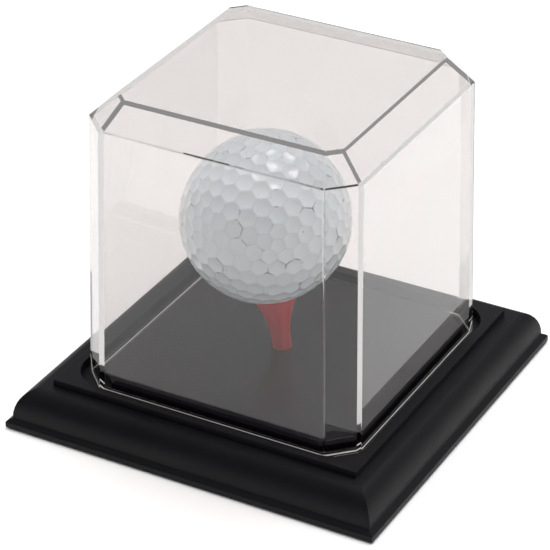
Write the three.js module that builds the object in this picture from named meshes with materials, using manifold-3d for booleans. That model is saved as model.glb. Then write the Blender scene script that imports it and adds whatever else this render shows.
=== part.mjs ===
// A golf ball display case: a clear bevelled cover over a ball on a tee, on a black moulded plinth.
// Millimetres, +Z up. The origin is the centre of the plan, on the surface that the feet stand on.
import * as THREE from "three";
import { ConvexGeometry } from "three/addons/geometries/ConvexGeometry.js";
import { mergeVertices } from "three/addons/utils/BufferGeometryUtils.js";
import Module from "manifold-3d";

const wasm = await Module();
wasm.setup();

// Whole object
const CASE_HEIGHT = 89;
const BALL_RADIUS = 42.67 / 2; // the smallest size that the rules of golf allow

// Plinth: a hollow square moulding with mitred corners. Each half is half the width of a square.
const PLINTH_HALF = 51.7;
const PLINTH_LIFT = 0.4; // the rim's height above the surface
const LIP_TOP = 1.9;
const LIP_EDGE = 0.4;
const LEDGE_HALF = 50.3;
const LEDGE_HEIGHT = 2.9;
const OVOLO_INNER_HALF = 45;
const OVOLO_STEPS = 8;
const SHELF_HEIGHT = 10.5; // the flat between the ovolo and the raised panel
const PANEL_HALF = 42.7;
const PANEL_TOP = 12.3;
const SHELL_HALF = 49;
const SHELL_SHOULDER_HALF = 47.6;
const SHELL_SHOULDER_HEIGHT = 5;
const SHELL_CEILING_HALF = 44.6;
const SHELL_CEILING = 7.4;
const RIB_THICKNESS = 1.6;
const RIB_BOTTOM = 4.6;

// Pocket in the raised panel, which takes the cover's foot and the deck
const POCKET_HALF = 40.3;
const POCKET_CORNER_RADIUS = 9.5;
const POCKET_FLOOR = 9.9;

// Socket under the deck, which takes the tee's stem
const SOCKET_RADIUS = 6;
const SOCKET_BOTTOM = 4;
const STEM_CLEARANCE = 0.15;

// Feet
const FOOT_RADIUS = 4;
const FOOT_TOP = 1.6;
const FOOT_OFFSET = 38;
const BOSS_RADIUS = 5.2;

// Deck plate
const DECK_HALF = 35.3;
const DECK_CORNER_LEG = 6;
const DECK_EDGE = 0.7;
const SEAT_GAP = 0.1;

// Cover: halves and corner legs of its octagonal sections
const WALL = 2;
const COVER_FOOT = { half: 38.55, leg: 6.85, z: POCKET_FLOOR + SEAT_GAP };
const COVER_SHOULDER = { half: 37.05, leg: 6.8, z: 82.5 };
const COVER_TOP = { half: 30.5, leg: 3.2, z: CASE_HEIGHT };

// Tee, along its own axis from the deck's top
const TEE_LEAN = THREE.MathUtils.degToRad(6.9);
const TEE_LEAN_HEADING = THREE.MathUtils.degToRad(28.3 + 180); // from +X towards +Y
const STEM_RADIUS = 2.45;
const STEM_DEPTH = 6;
const FLARE_HEIGHT = 15.4;
const FLARE_RADIUS = 6.1;
const FLARE_POWER = 2.4;
const FLARE_STEPS = 8;
const CUP_RADIUS = 6.4;
const CUP_RIM_RADIUS = 5.7;
const CUP_LIP_HEIGHT = 16.1;
const CUP_FLOOR_HEIGHT = 14.8;
const CUP_GAP = 0.12; // between the cup's rim and the ball
const BALL_CENTRE_HEIGHT = 37.25;

const ROUND_SEGMENTS = 24;
const OVERSHOOT = 1; // how far a cutter or a joined rib runs past the face it meets

const PLASTICS = {
  clear: { color: 0xf2f4f4, roughness: 0.05, metalness: 0, transparent: true, opacity: 0.25 },
  plinthBlack: { color: 0x1d1d1f, roughness: 0.45, metalness: 0 },
  deckBlack: { color: 0x232325, roughness: 0.25, metalness: 0 },
  teeRed: { color: 0xc22f34, roughness: 0.4, metalness: 0 },
  ballWhite: { color: 0xeef0f2, roughness: 0.3, metalness: 0 },
  rubber: { color: 0x151515, roughness: 0.85, metalness: 0 },
};

// A closed geometry as a solid for cutting and joining.
function toSolid(geometry) {
  const bare = geometry.clone();
  bare.deleteAttribute("normal");
  bare.deleteAttribute("uv");
  const merged = mergeVertices(bare, 1e-4);
  return new wasm.Manifold(
    new wasm.Mesh({
      numProp: 3,
      vertProperties: merged.attributes.position.array,
      triVerts: new Uint32Array(merged.index.array),
    }),
  );
}

function toGeometry(solid) {
  const mesh = solid.getMesh();
  const geometry = new THREE.BufferGeometry();
  geometry.setAttribute("position", new THREE.BufferAttribute(mesh.vertProperties, 3));
  geometry.setIndex(new THREE.BufferAttribute(mesh.triVerts, 1));
  return geometry;
}

function makePart(name, geometry, plastic) {
  const part = new THREE.Mesh(geometry, new THREE.MeshStandardMaterial(PLASTICS[plastic]));
  part.name = name;
  return part;
}

// A solid of revolution about +Z. Each point is [radius, height], from the bottom up on the outside.
function turned(points, segments = ROUND_SEGMENTS) {
  const profile = points.map(([radius, height]) => new THREE.Vector2(radius, height));
  return new THREE.LatheGeometry(profile, segments).rotateX(Math.PI / 2);
}

// The same for a square plan: each point is [half width, height], and the corners are mitred.
function squareTurned(points) {
  const diagonal = points.map(([half, height]) => [half * Math.SQRT2, height]);
  return turned(diagonal, 4).rotateZ(Math.PI / 4);
}

function cylinder(radius, bottom, top) {
  return new THREE.CylinderGeometry(radius, radius, top - bottom, ROUND_SEGMENTS)
    .rotateX(Math.PI / 2)
    .translate(0, 0, (bottom + top) / 2);
}

function box(width, depth, bottom, top) {
  return new THREE.BoxGeometry(width, depth, top - bottom).translate(0, 0, (bottom + top) / 2);
}

// The eight corners of a square section with its corners cut off by legs of the given length.
function octagon({ half, leg, z }) {
  const straight = half - leg;
  const corners = [];
  for (const sx of [-1, 1]) {
    for (const sy of [-1, 1]) {
      corners.push(new THREE.Vector3(sx * half, sy * straight, z));
      corners.push(new THREE.Vector3(sx * straight, sy * half, z));
    }
  }
  return corners;
}

function loft(...sections) {
  return new ConvexGeometry(sections.flatMap(octagon));
}

// The tee's axis leans about the middle of the deck's top face.
function alongTee(geometry) {
  return geometry
    .rotateY(TEE_LEAN)
    .rotateZ(TEE_LEAN_HEADING)
    .translate(0, 0, PANEL_TOP);
}

function teeBore() {
  return toSolid(alongTee(cylinder(STEM_RADIUS + STEM_CLEARANCE, -STEM_DEPTH - STEM_CLEARANCE, OVERSHOOT)));
}

function plinthProfile() {
  const profile = [
    [0, SHELL_CEILING],
    [SHELL_CEILING_HALF, SHELL_CEILING],
    [SHELL_SHOULDER_HALF, SHELL_SHOULDER_HEIGHT],
    [SHELL_HALF, PLINTH_LIFT],
    [PLINTH_HALF, PLINTH_LIFT],
    [PLINTH_HALF, LIP_TOP],
    [PLINTH_HALF - LIP_EDGE, LIP_TOP + LIP_EDGE],
  ];
  const ovoloWidth = LEDGE_HALF - OVOLO_INNER_HALF;
  const ovoloHeight = SHELF_HEIGHT - LEDGE_HEIGHT;
  for (let i = 0; i <= OVOLO_STEPS; i += 1) {
    const angle = (i / OVOLO_STEPS) * (Math.PI / 2);
    profile.push([
      OVOLO_INNER_HALF + ovoloWidth * Math.cos(angle),
      LEDGE_HEIGHT + ovoloHeight * Math.sin(angle),
    ]);
  }
  profile.push([PANEL_HALF, SHELF_HEIGHT], [PANEL_HALF, PANEL_TOP], [0, PANEL_TOP]);
  return profile;
}

function pocketCutter() {
  const straight = POCKET_HALF - POCKET_CORNER_RADIUS;
  const outline = new THREE.Shape();
  for (let i = 0; i < 4; i += 1) {
    const start = (i * Math.PI) / 2;
    const sx = i === 0 || i === 3 ? 1 : -1;
    const sy = i < 2 ? 1 : -1;
    outline.absarc(sx * straight, sy * straight, POCKET_CORNER_RADIUS, start, start + Math.PI / 2, false);
  }
  const depth = PANEL_TOP + OVERSHOOT - POCKET_FLOOR;
  return new THREE.ExtrudeGeometry(outline, { depth, bevelEnabled: false, curveSegments: 8 })
    .translate(0, 0, POCKET_FLOOR);
}

function makePlinth() {
  let plinth = toSolid(squareTurned(plinthProfile())).subtract(toSolid(pocketCutter()));
  const jointHeight = SHELL_CEILING + OVERSHOOT;
  const ribLength = 2 * SHELL_SHOULDER_HALF + OVERSHOOT;
  plinth = plinth.add(toSolid(box(ribLength, RIB_THICKNESS, RIB_BOTTOM, jointHeight)));
  plinth = plinth.add(toSolid(box(RIB_THICKNESS, ribLength, RIB_BOTTOM, jointHeight)));
  plinth = plinth.add(toSolid(cylinder(SOCKET_RADIUS, SOCKET_BOTTOM, jointHeight)));
  for (const [x, y] of footPlaces()) {
    plinth = plinth.add(toSolid(cylinder(BOSS_RADIUS, FOOT_TOP, jointHeight).translate(x, y, 0)));
  }
  plinth = plinth.subtract(teeBore());
  return makePart("base_plinth", toGeometry(plinth), "plinthBlack");
}

function makeDeck() {
  const bottom = { half: DECK_HALF, leg: DECK_CORNER_LEG, z: POCKET_FLOOR };
  const shoulder = { ...bottom, z: PANEL_TOP - DECK_EDGE };
  const top = { half: DECK_HALF - DECK_EDGE, leg: DECK_CORNER_LEG, z: PANEL_TOP };
  const deck = toSolid(loft(bottom, shoulder, top)).subtract(teeBore());
  return makePart("display_deck", toGeometry(deck), "deckBlack");
}

function makeTee() {
  const profile = [
    [0, -STEM_DEPTH],
    [STEM_RADIUS, -STEM_DEPTH],
  ];
  for (let i = 0; i <= FLARE_STEPS; i += 1) {
    const share = i / FLARE_STEPS;
    const flare = (FLARE_RADIUS - STEM_RADIUS) * share ** FLARE_POWER;
    profile.push([STEM_RADIUS + flare, FLARE_HEIGHT * share]);
  }
  const rimHeight = BALL_CENTRE_HEIGHT - Math.sqrt(BALL_RADIUS ** 2 - CUP_RIM_RADIUS ** 2) - CUP_GAP;
  profile.push([CUP_RADIUS, CUP_LIP_HEIGHT], [CUP_RIM_RADIUS, rimHeight], [0, CUP_FLOOR_HEIGHT]);
  return makePart("golf_tee", alongTee(turned(profile)), "teeRed");
}

function makeBall() {
  const ball = new THREE.SphereGeometry(BALL_RADIUS, 32, 20).rotateX(Math.PI / 2);
  return makePart("golf_ball", alongTee(ball.translate(0, 0, BALL_CENTRE_HEIGHT)), "ballWhite");
}

// The inside follows the outside at the wall's thickness, measured square to each face.
function makeCover() {
  const sideLegLoss = WALL * (2 - Math.SQRT2);
  const topHalfLoss = WALL * (Math.SQRT2 - 1);
  const bevelShare = WALL * (Math.SQRT2 - 1);
  const innerFoot = {
    half: COVER_FOOT.half - WALL,
    leg: COVER_FOOT.leg - sideLegLoss,
    z: COVER_FOOT.z - OVERSHOOT,
  };
  const innerShoulder = {
    half: COVER_SHOULDER.half - WALL,
    leg: COVER_SHOULDER.leg - sideLegLoss,
    z: COVER_SHOULDER.z - bevelShare,
  };
  const innerTop = {
    half: COVER_TOP.half - topHalfLoss,
    leg: COVER_TOP.leg - topHalfLoss * (2 - Math.SQRT2),
    z: COVER_TOP.z - WALL,
  };
  const outside = toSolid(loft(COVER_FOOT, COVER_SHOULDER, COVER_TOP));
  const inside = toSolid(loft(innerFoot, innerShoulder, innerTop));
  return makePart("clear_cover", toGeometry(outside.subtract(inside)), "clear");
}

function footPlaces() {
  return [
    [-FOOT_OFFSET, -FOOT_OFFSET],
    [FOOT_OFFSET, -FOOT_OFFSET],
    [-FOOT_OFFSET, FOOT_OFFSET],
    [FOOT_OFFSET, FOOT_OFFSET],
  ];
}

function makeFeet() {
  const names = ["foot_front_left", "foot_front_right", "foot_back_left", "foot_back_right"];
  return footPlaces().map(([x, y], i) => {
    const foot = makePart(names[i], cylinder(FOOT_RADIUS, 0, FOOT_TOP), "rubber");
    foot.position.set(x, y, 0);
    return foot;
  });
}

const displayCase = new THREE.Group();
displayCase.add(makePlinth(), makeDeck(), ...makeFeet());
displayCase.add(makeTee(), makeBall());
displayCase.add(makeCover());

export default displayCase;
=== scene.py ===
"""A golf ball display case: clear bevelled cover, ball on a red tee, black moulded plinth."""

import math

import bmesh
import bpy
from mathutils import Euler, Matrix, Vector
from mathutils.kdtree import KDTree


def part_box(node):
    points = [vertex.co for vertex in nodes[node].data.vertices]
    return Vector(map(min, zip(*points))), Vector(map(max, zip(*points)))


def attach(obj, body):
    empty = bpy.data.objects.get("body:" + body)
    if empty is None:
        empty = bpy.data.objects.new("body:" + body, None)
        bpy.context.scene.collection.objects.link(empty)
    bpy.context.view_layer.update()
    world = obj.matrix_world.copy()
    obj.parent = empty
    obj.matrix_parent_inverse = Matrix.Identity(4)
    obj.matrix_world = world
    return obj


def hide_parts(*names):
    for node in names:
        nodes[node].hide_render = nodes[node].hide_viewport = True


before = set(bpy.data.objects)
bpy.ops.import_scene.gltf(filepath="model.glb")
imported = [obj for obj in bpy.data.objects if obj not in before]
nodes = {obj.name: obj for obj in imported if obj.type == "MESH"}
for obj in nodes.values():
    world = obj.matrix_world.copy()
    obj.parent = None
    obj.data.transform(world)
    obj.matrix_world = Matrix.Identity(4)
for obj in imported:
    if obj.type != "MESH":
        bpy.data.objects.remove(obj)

MM = 0.001
WELD = 0.002 * MM            # points closer than this are one point
FLAT_WITHIN = 0.5            # degrees: faces that turn less than this are one flat face
MIX_A, MIX_B, MIX_RESULT = 6, 7, 2   # a Mix node's two colour inputs and its colour output

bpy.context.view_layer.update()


# ---------------------------------------------------------------- shared helpers


def linear(hex_colour, alpha=1.0):
    """An sRGB hex colour such as "1D1D1F" as linear red, green, blue and alpha."""
    shades = [int(hex_colour[i:i + 2], 16) / 255 for i in (0, 2, 4)]
    lit = [s / 12.92 if s <= 0.04045 else ((s + 0.055) / 1.055) ** 2.4 for s in shades]
    return (*lit, alpha)


def add_node(owner, kind, links=None, **settings):
    """Adds a node to a material or the world. A setting is one of its attributes or inputs, with _
    for a space in an input's name. Links feed inputs, by name or number."""
    node = owner.node_tree.nodes.new(kind)
    for name, value in settings.items():
        if hasattr(node, name):
            setattr(node, name, value)
        else:
            node.inputs[name.replace("_", " ")].default_value = value
    for name, source in (links or {}).items():
        owner.node_tree.links.new(source, node.inputs[name])
    return node


def new_material(name):
    """A material with no nodes yet."""
    material = bpy.data.materials.new(name)
    material.use_nodes = True
    material.node_tree.nodes.clear()
    return material


def finish_material(material, shader):
    """Joins the shader to the material's output."""
    add_node(material, "ShaderNodeOutputMaterial", {"Surface": shader})
    return material


def new_piece(name, mesh_edit, material, body, replaced):
    """Makes one finished piece from an edited bmesh, on its body and in place of its CAD node."""
    mesh = bpy.data.meshes.new(name)
    mesh_edit.to_mesh(mesh)
    mesh_edit.free()
    piece = bpy.data.objects.new(name, mesh)
    bpy.context.scene.collection.objects.link(piece)
    piece.data.materials.append(material)
    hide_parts(*replaced)
    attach(piece, body)
    return piece


def clean_copy(node_name):
    """A CAD node's shape with its loose triangles joined and its flat faces made whole."""
    edit = bmesh.new()
    edit.from_mesh(nodes[node_name].data)
    bmesh.ops.remove_doubles(edit, verts=edit.verts[:], dist=WELD)
    bmesh.ops.dissolve_limit(
        edit, angle_limit=math.radians(FLAT_WITHIN), verts=edit.verts[:], edges=edit.edges[:]
    )
    return edit


def soften_edges(edit, width, segments, least_angle, chosen=lambda edge: True):
    """Rounds the chosen edges that turn more than least_angle degrees, as a mould's radius does.
    The rounding is narrower than width where there is no room for it."""
    least = math.radians(least_angle)
    sharp = [
        edge for edge in edit.edges
        if len(edge.link_faces) == 2 and edge.calc_face_angle(0) > least and chosen(edge)
    ]
    bmesh.ops.bevel(
        edit, geom=sharp, offset=width, offset_type="OFFSET", segments=segments,
        profile=0.5, affect="EDGES", material=-1, clamp_overlap=True,
    )


def smooth_shading(piece, crease=30):
    """Smooth shading up to a crease in degrees, with flat faces flat right up to their rounded
    edges."""
    for face in piece.data.polygons:
        face.use_smooth = True
    piece.data.set_sharp_from_angle(angle=math.radians(crease))
    flats = piece.modifiers.new("flat faces stay flat", "WEIGHTED_NORMAL")
    flats.mode = "FACE_AREA"
    flats.weight = 100   # the most there is: a large face outweighs the narrow ones beside it
    flats.keep_sharp = True


# ---------------------------------------------------------------- camera, floor and light

CAMERA_AZIMUTH = math.radians(28.3)              # round to the right of the front
CAMERA_ELEVATION = math.radians(29.9)
CAMERA_DISTANCE = 673 * MM
CAMERA_PIVOT = Vector((0.6, 0.3, 40)) * MM       # the point that it stands off from
CAMERA_AIM = Vector((-0.45, -3.85, 34.5)) * MM   # the point that it looks at
CAMERA_LENS = 175.4
CAMERA_SENSOR = 36
CAMERA_CLIP = (0.01, 20)

FLOOR_HALF_WIDTH = 3
FLOOR_GLOW = 0.9                 # far out the paper glows, so that it stays white in low views
FLOOR_GLOW_SPREAD = (0.45, 1.7)  # metres from the object, from no glow to all of it

STUDIO_BACK = 0.5              # how bright the room behind the object is
STUDIO_FRONT = 0.09            # and the room in front of it, which its faces mirror
STUDIO_SPREAD = (-0.9, 0.3)    # from all front to all back, along Y in a direction of length 1
CLEAR_BOUNCES = 32             # a line of sight crosses many clear faces


def make_camera():
    """The camera, level and without shift or depth of field."""
    camera_data = bpy.data.cameras.new("camera")
    camera_data.lens = CAMERA_LENS
    camera_data.sensor_width = CAMERA_SENSOR
    camera_data.clip_start, camera_data.clip_end = CAMERA_CLIP
    camera = bpy.data.objects.new("camera", camera_data)
    back = Vector((
        math.sin(CAMERA_AZIMUTH) * math.cos(CAMERA_ELEVATION),
        -math.cos(CAMERA_AZIMUTH) * math.cos(CAMERA_ELEVATION),
        math.sin(CAMERA_ELEVATION),
    ))
    camera.location = CAMERA_PIVOT + back * CAMERA_DISTANCE
    look = CAMERA_AIM - camera.location
    camera.rotation_mode = "QUATERNION"
    camera.rotation_quaternion = look.to_track_quat("-Z", "Y")
    bpy.context.scene.collection.objects.link(camera)
    bpy.context.scene.camera = camera


def make_softbox(name, place, aim, size, watts, shows_in_gloss):
    """A soft lamp, in metres. It lights what is behind the clear walls but isn't seen through
    them."""
    lamp = bpy.data.lights.new(name, "AREA")
    lamp.shape = "RECTANGLE"
    lamp.size, lamp.size_y = size
    lamp.energy = watts
    softbox = bpy.data.objects.new(name, lamp)
    softbox.location = place
    softbox.rotation_mode = "QUATERNION"
    softbox.rotation_quaternion = (Vector(aim) - Vector(place)).to_track_quat("-Z", "Y")
    softbox.visible_transmission = False
    softbox.visible_glossy = shows_in_gloss
    bpy.context.scene.collection.objects.link(softbox)


def make_floor():
    """A plain sheet of white paper under the feet."""
    edit = bmesh.new()
    bmesh.ops.create_grid(edit, x_segments=1, y_segments=1, size=FLOOR_HALF_WIDTH)
    mesh = bpy.data.meshes.new("floor")
    edit.to_mesh(mesh)
    edit.free()
    floor = bpy.data.objects.new("floor", mesh)
    bpy.context.scene.collection.objects.link(floor)
    paper = new_material("white paper sweep")
    place = add_node(paper, "ShaderNodeTexCoord")
    distance = add_node(
        paper, "ShaderNodeVectorMath", {0: place.outputs["Object"]}, operation="LENGTH"
    )
    near, far = FLOOR_GLOW_SPREAD
    glow = add_node(
        paper, "ShaderNodeMapRange", {"Value": distance.outputs["Value"]},
        From_Min=near, From_Max=far, To_Min=0.0, To_Max=FLOOR_GLOW,
    )
    shader = add_node(
        paper, "ShaderNodeBsdfPrincipled", {"Emission Strength": glow.outputs[0]},
        Base_Color=linear("F8F8F8"), Emission_Color=linear("FFFFFF"), Roughness=0.9,
        Specular_IOR_Level=0.1,
    )
    floor.data.materials.append(finish_material(paper, shader.outputs[0]))


def make_studio():
    """A white studio: bright behind, dimmer in front, and lit by four soft lamps. The camera itself
    sees it plain white."""
    world = bpy.data.worlds.new("studio")
    bpy.context.scene.world = world
    world.use_nodes = True
    world.node_tree.nodes.clear()
    place = add_node(world, "ShaderNodeTexCoord")
    parts = add_node(world, "ShaderNodeSeparateXYZ", {"Vector": place.outputs["Generated"]})
    front, back = STUDIO_SPREAD
    depth = add_node(
        world, "ShaderNodeMapRange", {"Value": parts.outputs["Y"]},
        From_Min=front, From_Max=back, To_Min=STUDIO_FRONT, To_Max=STUDIO_BACK,
        interpolation_type="SMOOTHSTEP",
    )
    room = add_node(
        world, "ShaderNodeBackground", {"Strength": depth.outputs[0]}, Color=linear("FFFFFF")
    )
    plain = add_node(world, "ShaderNodeBackground", Color=linear("FFFFFF"), Strength=1.0)
    path = add_node(world, "ShaderNodeLightPath")
    both = add_node(
        world, "ShaderNodeMixShader",
        {0: path.outputs["Is Camera Ray"], 1: room.outputs[0], 2: plain.outputs[0]},
    )
    add_node(world, "ShaderNodeOutputWorld", {"Surface": both.outputs[0]})
    make_softbox(
        "overhead_fill", place=(-0.1, 0.2, 1.4), aim=(0, 0, 0.05), size=(1.3, 1.3),
        watts=16.2, shows_in_gloss=False,
    )
    make_softbox(
        "low_right_fill", place=(0.85, -0.55, 0.16), aim=(0, 0, 0.04), size=(0.5, 0.3),
        watts=1.8, shows_in_gloss=False,
    )
    make_softbox(
        "left_fill", place=(-0.95, -0.3, 0.5), aim=(0, 0, 0.05), size=(0.5, 0.4),
        watts=2.8, shows_in_gloss=False,
    )
    make_softbox(
        "key_softbox", place=(0.1, 0.32, 0.9), aim=(0, 0, 0.05), size=(0.34, 0.34),
        watts=2.8, shows_in_gloss=True,
    )
    bpy.context.scene.view_settings.view_transform = "Standard"
    for bounce in ("max_bounces", "glossy_bounces", "transmission_bounces"):
        setattr(bpy.context.scene.cycles, bounce, CLEAR_BOUNCES)


# ---------------------------------------------------------------- materials

ACRYLIC_TINT = "EDEAE9"
ACRYLIC_IOR = 1.49
PIPED_TINT = "C9C8C7"     # what is left of light that has mirrored inside a wall


def clear_acrylic():
    """Injection-moulded acrylic, polished and clear, with a slight warm grey cast. Lamplight passes
    straight through it, and light that mirrors inside a wall leaves it, dimmed, at the next
    face."""
    material = new_material("clear moulded acrylic")
    glass = add_node(
        material, "ShaderNodeBsdfPrincipled", Base_Color=linear(ACRYLIC_TINT),
        Transmission_Weight=1.0, Roughness=0.0, IOR=ACRYLIC_IOR, Specular_IOR_Level=0.2,
    )
    clear = add_node(material, "ShaderNodeBsdfTransparent", Color=linear(ACRYLIC_TINT))
    dimmed = add_node(material, "ShaderNodeBsdfTransparent", Color=linear(PIPED_TINT))
    path = add_node(material, "ShaderNodeLightPath")
    inside = add_node(
        material, "ShaderNodeMath", {0: path.outputs["Transmission Depth"]}, operation="MODULO"
    )
    inside.inputs[1].default_value = 2.0   # an odd count of faces crossed: the light is in a wall
    mirrored = add_node(
        material, "ShaderNodeMixShader",
        {0: inside.outputs[0], 1: clear.outputs[0], 2: dimmed.outputs[0]},
    )
    walls = add_node(
        material, "ShaderNodeMixShader",
        {0: path.outputs["Is Reflection Ray"], 1: glass.outputs[0], 2: mirrored.outputs[0]},
    )
    lamplit = add_node(
        material, "ShaderNodeMixShader",
        {0: path.outputs["Is Shadow Ray"], 1: walls.outputs[0], 2: clear.outputs[0]},
    )
    return finish_material(material, lamplit.outputs[0])


def painted_glow_edge():
    """The acrylic at the foot's radius, painted pale and mottled and made to glow a little: a
    painted glow and highlight in place of the light that runs down inside the walls and leaves
    there."""
    material = new_material("painted-glow acrylic edge")
    place = add_node(material, "ShaderNodeTexCoord")
    drift = add_node(
        material, "ShaderNodeTexNoise", {"Vector": place.outputs["Object"]},
        Scale=1 / (9 * MM), Detail=2.0,
    )
    tone = add_node(material, "ShaderNodeMix", {"Factor": drift.outputs["Fac"]}, data_type="RGBA")
    tone.inputs[MIX_A].default_value = linear("B4B4B3")
    tone.inputs[MIX_B].default_value = linear("DCDCDB")
    # painted glow and highlight: the pale tone is both the colour and the light it gives out
    shader = add_node(
        material, "ShaderNodeBsdfPrincipled",
        {"Base Color": tone.outputs[MIX_RESULT], "Emission Color": tone.outputs[MIX_RESULT]},
        Roughness=0.12, Emission_Strength=0.35, IOR=ACRYLIC_IOR,
    )
    return finish_material(material, shader.outputs[0])


def moulded_black(name, colour, worn, roughness, mirror, grain_mm, grain_depth_mm):
    """Black moulded polystyrene. A fine spark-eroded grain breaks the gloss, and the tone and gloss
    drift a little over the moulding. Mirror is how strongly it reflects."""
    material = new_material(name)
    place = add_node(material, "ShaderNodeTexCoord")
    grain = add_node(
        material, "ShaderNodeTexNoise", {"Vector": place.outputs["Object"]},
        Scale=1 / (grain_mm * MM), Detail=1.0, Roughness=0.4,
    )
    cloud = add_node(
        material, "ShaderNodeTexNoise", {"Vector": place.outputs["Object"]},
        Scale=1 / (22 * MM), Detail=4.0, Roughness=0.55,
    )
    gloss = add_node(
        material, "ShaderNodeMapRange", {"Value": cloud.outputs["Fac"]},
        From_Min=0.3, From_Max=0.7, To_Min=roughness - 0.05, To_Max=roughness + 0.06,
    )
    tone = add_node(material, "ShaderNodeMix", {"Factor": cloud.outputs["Fac"]}, data_type="RGBA")
    tone.inputs[MIX_A].default_value = linear(colour)
    tone.inputs[MIX_B].default_value = linear(worn)
    bump = add_node(
        material, "ShaderNodeBump", {"Height": grain.outputs["Fac"]},
        Strength=0.2, Distance=grain_depth_mm * MM,
    )
    shader = add_node(
        material, "ShaderNodeBsdfPrincipled",
        {
            "Base Color": tone.outputs[MIX_RESULT], "Roughness": gloss.outputs[0],
            "Normal": bump.outputs[0],
        },
        IOR=1.5, Specular_IOR_Level=mirror,
    )
    return finish_material(material, shader.outputs[0])


def red_plastic():
    """The tee's red moulded plastic, semi-gloss, with a faint flow mottle along the stem."""
    material = new_material("red moulded plastic")
    place = add_node(material, "ShaderNodeTexCoord")
    flow = add_node(
        material, "ShaderNodeTexNoise", {"Vector": place.outputs["Object"]},
        Scale=1 / (2.5 * MM), Detail=3.0,
    )
    tone = add_node(material, "ShaderNodeMix", {"Factor": flow.outputs["Fac"]}, data_type="RGBA")
    tone.inputs[MIX_A].default_value = linear("D81F26")
    tone.inputs[MIX_B].default_value = linear("E62A31")
    bump = add_node(
        material, "ShaderNodeBump", {"Height": flow.outputs["Fac"]},
        Strength=0.15, Distance=0.03 * MM,
    )
    shader = add_node(
        material, "ShaderNodeBsdfPrincipled",
        {"Base Color": tone.outputs[MIX_RESULT], "Normal": bump.outputs[0]},
        Roughness=0.34, Subsurface_Weight=0.05, Subsurface_Scale=0.6 * MM,
    )
    return finish_material(material, shader.outputs[0])


def ball_cover():
    """A played golf ball's white ionomer under a clear coat. Soil sits in short arcs on the ridges
    between the dimples, where a club and the ground touch it, with a few specks inside dimples."""
    material = new_material("white golf ball ionomer")
    place = add_node(material, "ShaderNodeTexCoord")
    ridge = add_node(material, "ShaderNodeAttribute", attribute_name="ridge")
    spread = add_node(
        material, "ShaderNodeTexNoise", {"Vector": place.outputs["Object"]},
        Scale=1 / (5 * MM), Detail=2.0, Roughness=0.6,
    )
    soiled = add_node(
        material, "ShaderNodeMapRange", {"Value": spread.outputs["Fac"]},
        From_Min=0.57, From_Max=0.68, To_Min=0.1, To_Max=0.9,
    )
    crest = add_node(
        material, "ShaderNodeMapRange", {"Value": ridge.outputs["Fac"]},
        From_Min=0.25, From_Max=0.85, To_Min=0.0, To_Max=1.0,
    )
    arcs = add_node(
        material, "ShaderNodeMath", {0: crest.outputs[0], 1: soiled.outputs[0]},
        operation="MULTIPLY",
    )
    grit = add_node(
        material, "ShaderNodeTexNoise", {"Vector": place.outputs["Object"]},
        Scale=1 / (0.8 * MM), Detail=1.0,
    )
    specks = add_node(
        material, "ShaderNodeMapRange", {"Value": grit.outputs["Fac"]},
        From_Min=0.74, From_Max=0.78, To_Min=0.0, To_Max=0.7,
    )
    soil = add_node(
        material, "ShaderNodeMath", {0: arcs.outputs[0], 1: specks.outputs[0]},
        operation="MAXIMUM",
    )
    tone = add_node(material, "ShaderNodeMix", {"Factor": soil.outputs[0]}, data_type="RGBA")
    tone.inputs[MIX_A].default_value = linear("EBF8FF")
    tone.inputs[MIX_B].default_value = linear("54483F")
    shader = add_node(
        material, "ShaderNodeBsdfPrincipled", {"Base Color": tone.outputs[MIX_RESULT]},
        Roughness=0.3, IOR=1.52, Coat_Weight=0.8, Coat_Roughness=0.08,
        Subsurface_Weight=0.06, Subsurface_Scale=0.8 * MM,
    )
    return finish_material(material, shader.outputs[0])


def foot_rubber():
    """Black rubber, dull, with a fine matt grain."""
    material = new_material("black foot rubber")
    place = add_node(material, "ShaderNodeTexCoord")
    grain = add_node(
        material, "ShaderNodeTexNoise", {"Vector": place.outputs["Object"]},
        Scale=1 / (0.4 * MM), Detail=2.0,
    )
    tone = add_node(material, "ShaderNodeMix", {"Factor": grain.outputs["Fac"]}, data_type="RGBA")
    tone.inputs[MIX_A].default_value = linear("121212")
    tone.inputs[MIX_B].default_value = linear("242424")
    bump = add_node(
        material, "ShaderNodeBump", {"Height": grain.outputs["Fac"]},
        Strength=0.4, Distance=0.05 * MM,
    )
    shader = add_node(
        material, "ShaderNodeBsdfPrincipled",
        {"Base Color": tone.outputs[MIX_RESULT], "Normal": bump.outputs[0]}, Roughness=0.85,
    )
    return finish_material(material, shader.outputs[0])


# ---------------------------------------------------------------- pieces

COVER_EDGE = 0.26 * MM           # radius of the cover's outer edges
COVER_INNER_EDGE = 0.08 * MM     # the mould's core leaves sharper edges inside
COVER_FOOT_EDGE = 0.28 * MM      # radius of both rims of the foot
COVER_SHARP = 8                  # degrees: a cover edge that turns less stays as it is
PLINTH_EDGE = 0.22 * MM
DECK_EDGE = 0.4 * MM
RUBBER_EDGE = 0.3 * MM


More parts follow.
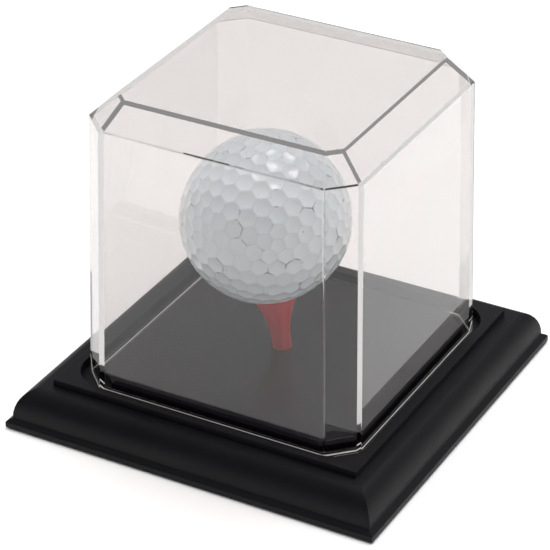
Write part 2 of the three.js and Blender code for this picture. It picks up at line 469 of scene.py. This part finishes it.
def make_cover():
    """The clear cover. The mould leaves a hair-fine radius along its edges. The radius of the
    foot's two
    rims gets a painted glow: a pale line in place of the light that the walls let out at the foot."""
    edit = clean_copy("clear_cover")
    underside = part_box("clear_cover")[0][2]
    rims_below = underside + 0.1 * MM
    outer_above = underside + 0.95 * COVER_FOOT_EDGE    # just under the top of the foot's radius
    painted_glow_above = underside + 0.01 * MM                # the flat underside itself stays clear

    def rim(edge):
        return all(v.co.z < rims_below for v in edge.verts)

    def outer(edge):
        return edge.is_convex and all(v.co.z > outer_above for v in edge.verts)

    def inner(edge):
        return not edge.is_convex

    for width, segments, chosen in (
        (COVER_FOOT_EDGE, 3, rim), (COVER_EDGE, 3, outer), (COVER_INNER_EDGE, 2, inner),
    ):
        soften_edges(edit, width, segments, COVER_SHARP, chosen)
    bmesh.ops.remove_doubles(edit, verts=edit.verts[:], dist=WELD)
    bmesh.ops.dissolve_degenerate(edit, edges=edit.edges[:], dist=WELD)
    # the faces of the foot's radius take the second slot, the pale painted glow
    for face in edit.faces:
        if painted_glow_above < face.calc_center_median().z < underside + COVER_FOOT_EDGE:
            face.material_index = 1
    piece = new_piece("cover", edit, clear_acrylic(), "cover", ["clear_cover"])
    # the second slot: acrylic with a painted glow along the foot's radius
    piece.data.materials.append(painted_glow_edge())
    smooth_shading(piece)


def make_plinth():
    """The moulded plinth, in a satin black."""
    edit = clean_copy("base_plinth")
    soften_edges(edit, PLINTH_EDGE, segments=3, least_angle=25)
    satin = moulded_black(
        "satin black moulded polystyrene", "0A0A0D", "121216",
        roughness=0.46, mirror=0.18, grain_mm=1.1, grain_depth_mm=0.003,
    )
    piece = new_piece("plinth", edit, satin, "plinth", ["base_plinth"])
    smooth_shading(piece)


def make_deck():
    """The deck plate that the cover stands round, glossier than the plinth."""
    edit = clean_copy("display_deck")
    soften_edges(edit, DECK_EDGE, segments=4, least_angle=25)
    gloss = moulded_black(
        "semi-gloss black moulded plate", "100F15", "19171F",
        roughness=0.2, mirror=0.28, grain_mm=1.2, grain_depth_mm=0.003,
    )
    piece = new_piece("deck", edit, gloss, "plinth", ["display_deck"])
    smooth_shading(piece)


def make_feet():
    """The four rubber feet."""
    rubber = foot_rubber()
    for side in ("front_left", "front_right", "back_left", "back_right"):
        edit = clean_copy("foot_" + side)
        soften_edges(edit, RUBBER_EDGE, segments=2, least_angle=30)
        piece = new_piece(
            "rubber_foot_" + side, edit, rubber, "plinth", ["foot_" + side]
        )
        smooth_shading(piece, crease=35)


def ball_place():
    """The ball's centre and radius."""
    low, high = (Vector(corner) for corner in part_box("golf_ball"))
    return (low + high) / 2, (high - low).z / 2


TEE_SIDES = 64
TEE_STEM_RADIUS = 2.45 * MM
TEE_STEM_DEPTH = 6 * MM       # how far it reaches below the deck's top face
TEE_STEM_CHAMFER = 0.3 * MM
TEE_FLARE = {"height": 15.4 * MM, "radius": 6.1 * MM, "power": 2.4, "steps": 26}
TEE_LIP = {"radius": 6.4 * MM, "height": 16.1 * MM, "soft": 0.22 * MM}
TEE_LIP_TURN = 0.3            # share of the lip's softness left at the middle of its round
TEE_CUP = {"rim": 5.7 * MM, "gap": 0.12 * MM, "steps": 8}


def make_tee():
    """The tee: a stem that flares to a lip, and a cup that follows the ball. It leans with the
    ball, about the middle of the deck's top face."""
    foot = Vector((0, 0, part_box("display_deck")[1][2]))
    ball_centre, ball_radius = ball_place()
    rise = ball_centre - foot
    profile = [
        (0, -TEE_STEM_DEPTH),
        (TEE_STEM_RADIUS - TEE_STEM_CHAMFER, -TEE_STEM_DEPTH),
        (TEE_STEM_RADIUS, TEE_STEM_CHAMFER - TEE_STEM_DEPTH),
    ]
    for i in range(TEE_FLARE["steps"] + 1):
        share = i / TEE_FLARE["steps"]
        flare = (TEE_FLARE["radius"] - TEE_STEM_RADIUS) * share ** TEE_FLARE["power"]
        profile.append((TEE_STEM_RADIUS + flare, TEE_FLARE["height"] * share))
    turn = TEE_LIP_TURN * TEE_LIP["soft"]
    profile += [
        (TEE_LIP["radius"], TEE_LIP["height"] - TEE_LIP["soft"]),
        (TEE_LIP["radius"] - turn, TEE_LIP["height"] - turn),
        (TEE_LIP["radius"] - TEE_LIP["soft"], TEE_LIP["height"]),
    ]
    for i in range(TEE_CUP["steps"] + 1):
        reach = TEE_CUP["rim"] * (1 - i / TEE_CUP["steps"])
        fall = math.sqrt((ball_radius + TEE_CUP["gap"]) ** 2 - reach ** 2)
        profile.append((reach, rise.length - fall))
    edit = bmesh.new()
    points = [edit.verts.new((reach, 0, up)) for reach, up in profile]
    for start, end in zip(points, points[1:]):
        edit.edges.new((start, end))
    bmesh.ops.spin(
        edit, geom=edit.verts[:] + edit.edges[:], axis=(0, 0, 1), cent=(0, 0, 0),
        angle=2 * math.pi, steps=TEE_SIDES, use_merge=True,
    )
    bmesh.ops.remove_doubles(edit, verts=edit.verts[:], dist=WELD)
    bmesh.ops.recalc_face_normals(edit, faces=edit.faces[:])
    lean = Vector((0, 0, 1)).rotation_difference(rise).to_matrix()
    for vertex in edit.verts:
        vertex.co = foot + lean @ vertex.co
    piece = new_piece("tee", edit, red_plastic(), "plinth", ["golf_tee"])
    smooth_shading(piece, crease=35)


LATTICE_CUTS = 6          # a 20-sided lattice cut six ways along each edge has 362 corners
CUTS_PER_DIMPLE = 15      # how finely the ball's mesh follows each dimple
DIMPLE_REACH = 2.32 * MM  # from a dimple's middle to where its rim would be, past its neighbours
DIMPLE_DEPTH = 0.4 * MM
RIDGE_WIDTH = 0.34 * MM
RIDGE_SOFTNESS = 0.2      # share of a dimple's depth that is lost on its way up to a ridge
BALL_TURN = (14, 8, 20)   # degrees that the ball has rolled from its lattice's own axes


def icosahedron_grid(cuts, radius):
    """A sphere from an icosahedron whose faces are cut into small, even triangles."""
    grid = bmesh.new()
    bmesh.ops.create_icosphere(grid, subdivisions=1, radius=radius)
    bmesh.ops.subdivide_edges(grid, edges=grid.edges[:], cuts=cuts - 1, use_grid_fill=True)
    for vertex in grid.verts:
        vertex.co = vertex.co.normalized() * radius
    return grid


def make_ball():
    """The ball: 362 dimples that nearly touch, so the land between them is a net of thin ridges."""
    centre, radius = ball_place()
    lattice = icosahedron_grid(LATTICE_CUTS, radius)
    nearest = KDTree(len(lattice.verts))
    for i, middle in enumerate(lattice.verts):
        nearest.insert(middle.co, i)
    nearest.balance()
    lattice.free()
    edit = icosahedron_grid(LATTICE_CUTS * CUTS_PER_DIMPLE, radius)
    ridge_layer = edit.verts.layers.float.new("ridge")
    turn = Euler([math.radians(a) for a in BALL_TURN]).to_matrix()
    for vertex in edit.verts:
        near = nearest.find_n(vertex.co, 2)
        first, second = near[0][2], near[1][2]
        inset = max(0.0, 1 - (first / DIMPLE_REACH) ** 2)
        blend = min(1.0, (second - first) / (2 * RIDGE_WIDTH))
        soft = 1 - RIDGE_SOFTNESS + RIDGE_SOFTNESS * blend * (2 - blend)
        vertex[ridge_layer] = 1 - blend
        outward = turn @ vertex.co.normalized()
        vertex.co = centre + outward * (radius - DIMPLE_DEPTH * inset * soft)
    piece = new_piece("ball", edit, ball_cover(), "ball", ["golf_ball"])
    for face in piece.data.polygons:
        face.use_smooth = True


make_camera()
make_floor()
make_studio()
make_plinth()
make_deck()
make_feet()
make_tee()
make_ball()
make_cover()
